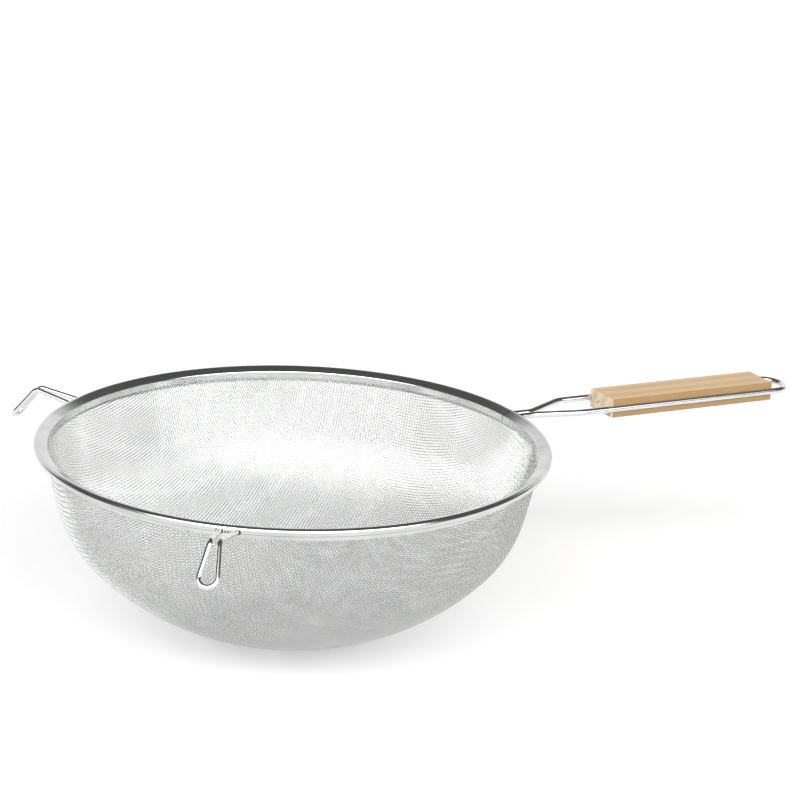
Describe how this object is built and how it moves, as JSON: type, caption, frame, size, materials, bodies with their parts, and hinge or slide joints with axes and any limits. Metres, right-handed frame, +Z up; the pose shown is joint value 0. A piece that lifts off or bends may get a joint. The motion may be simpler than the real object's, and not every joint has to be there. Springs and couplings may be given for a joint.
{
  "type": "double mesh strainer",
  "caption": "Round double-layer steel mesh strainer with a rolled rim, a wooden grip on a looped wire handle and wire pot hooks.",
  "frame": {"origin": "centre of the bowl's flat base, on its underside", "axes": "+Z up along the bowl's axis, +X out along the handle, and the pot hooks on the -X side at +Y and -Y"},
  "size_m": [0.5028, 0.315, 0.1211],
  "materials": {
    "mesh": "bright woven stainless wire, two layers",
    "rim": "polished rolled stainless strip",
    "wire": "bright drawn wire",
    "wood": "pale beech, sanded and unvarnished"
  },
  "bodies": {
    "root": {"outer_mesh": "mesh", "inner_mesh": "mesh", "rim_band": "rim", "rim_hoop_wire": "wire", "handle_wire": "wire", "grip": "wood", "left_hook": "wire", "front_hook": "wire"}
  },
  "joints": []
}
